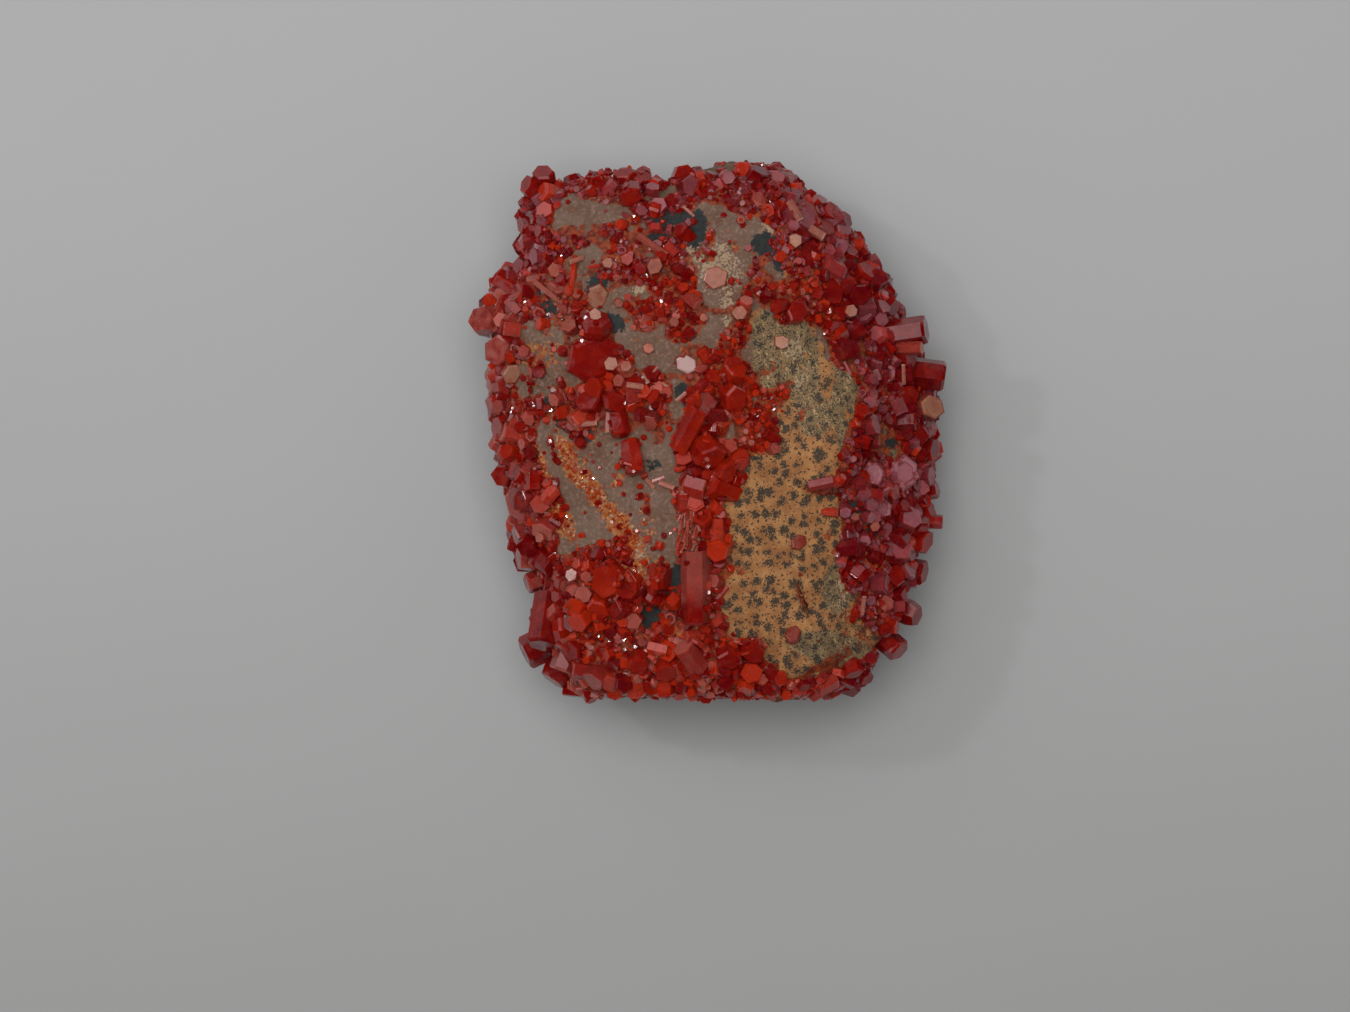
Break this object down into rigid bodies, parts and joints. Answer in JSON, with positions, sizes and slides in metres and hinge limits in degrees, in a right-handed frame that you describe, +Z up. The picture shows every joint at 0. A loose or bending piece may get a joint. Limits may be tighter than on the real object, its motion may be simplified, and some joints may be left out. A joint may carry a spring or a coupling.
{
  "type": "mineral specimen",
  "caption": "Blocky piece of brown matrix rock on a flat broken back, its rim, crest and face crusted with six-sided red vanadinite crystals.",
  "frame": {"origin": "on the flat broken back the piece lies on, under the middle of its overall box", "axes": "+Z up from the resting back to the crystal-covered front, +Y towards the narrower notched end, +X towards the crusted right-hand flank"},
  "size_m": [0.0476, 0.0534, 0.0261],
  "materials": {
    "matrix": "dull, rough broken rock",
    "vanadinite": "resinous to adamantine, translucent at thin edges"
  },
  "bodies": {
    "root": {"big_plate": "vanadinite", "bottom_disc": "vanadinite", "bottom_right_corner": "vanadinite", "bottom_right_edge": "vanadinite", "bright_hexagon": "vanadinite", "corner_hood": "vanadinite", "crest_deep": "vanadinite", "crest_edge_disc": "vanadinite", "crest_right": "vanadinite", "drop_prism": "vanadinite", "flank_disc": "vanadinite", "flank_knob_lower": "vanadinite", "flank_knob_upper": "vanadinite", "flank_pale_disc": "vanadinite", "inner_pair_left": "vanadinite", "left_amber": "vanadinite", "left_block": "vanadinite", "left_disc_lower": "vanadinite", "left_disc_upper": "vanadinite", "left_glint": "vanadinite", "left_shelf": "vanadinite", "left_tile": "vanadinite", "long_prism": "vanadinite", "lower_boss": "vanadinite", "lower_disc": "vanadinite", "matrix": "matrix", "ochre_disc_lower": "vanadinite", "ochre_disc_upper": "vanadinite", "ochre_lip_pair": "vanadinite", "pale_hexagon": "vanadinite", "pink_hexagon": "vanadinite", "plate_follower": "vanadinite", "rim_cherry": "vanadinite", "rim_deep": "vanadinite", "rim_hexagon_face": "vanadinite", "rim_hexagon_top": "vanadinite", "rim_low_inner": "vanadinite", "rim_low_lower": "vanadinite", "rim_low_upper": "vanadinite", "rim_pointer": "vanadinite", "rim_spur": "vanadinite", "round_disc": "vanadinite", "shoulder_bead": "vanadinite", "shoulder_deep": "vanadinite", "shoulder_pale": "vanadinite", "shoulder_plate": "vanadinite", "shoulder_prism": "vanadinite", "skeletal_large": "vanadinite", "skeletal_left": "vanadinite", "skeletal_low": "vanadinite", "top_corner_outer": "vanadinite", "top_edge_ring": "vanadinite", "top_knob_front": "vanadinite", "top_knob_left": "vanadinite", "top_right_low": "vanadinite", "top_right_plate": "vanadinite", "top_rosette": "vanadinite"}
  },
  "joints": []
}
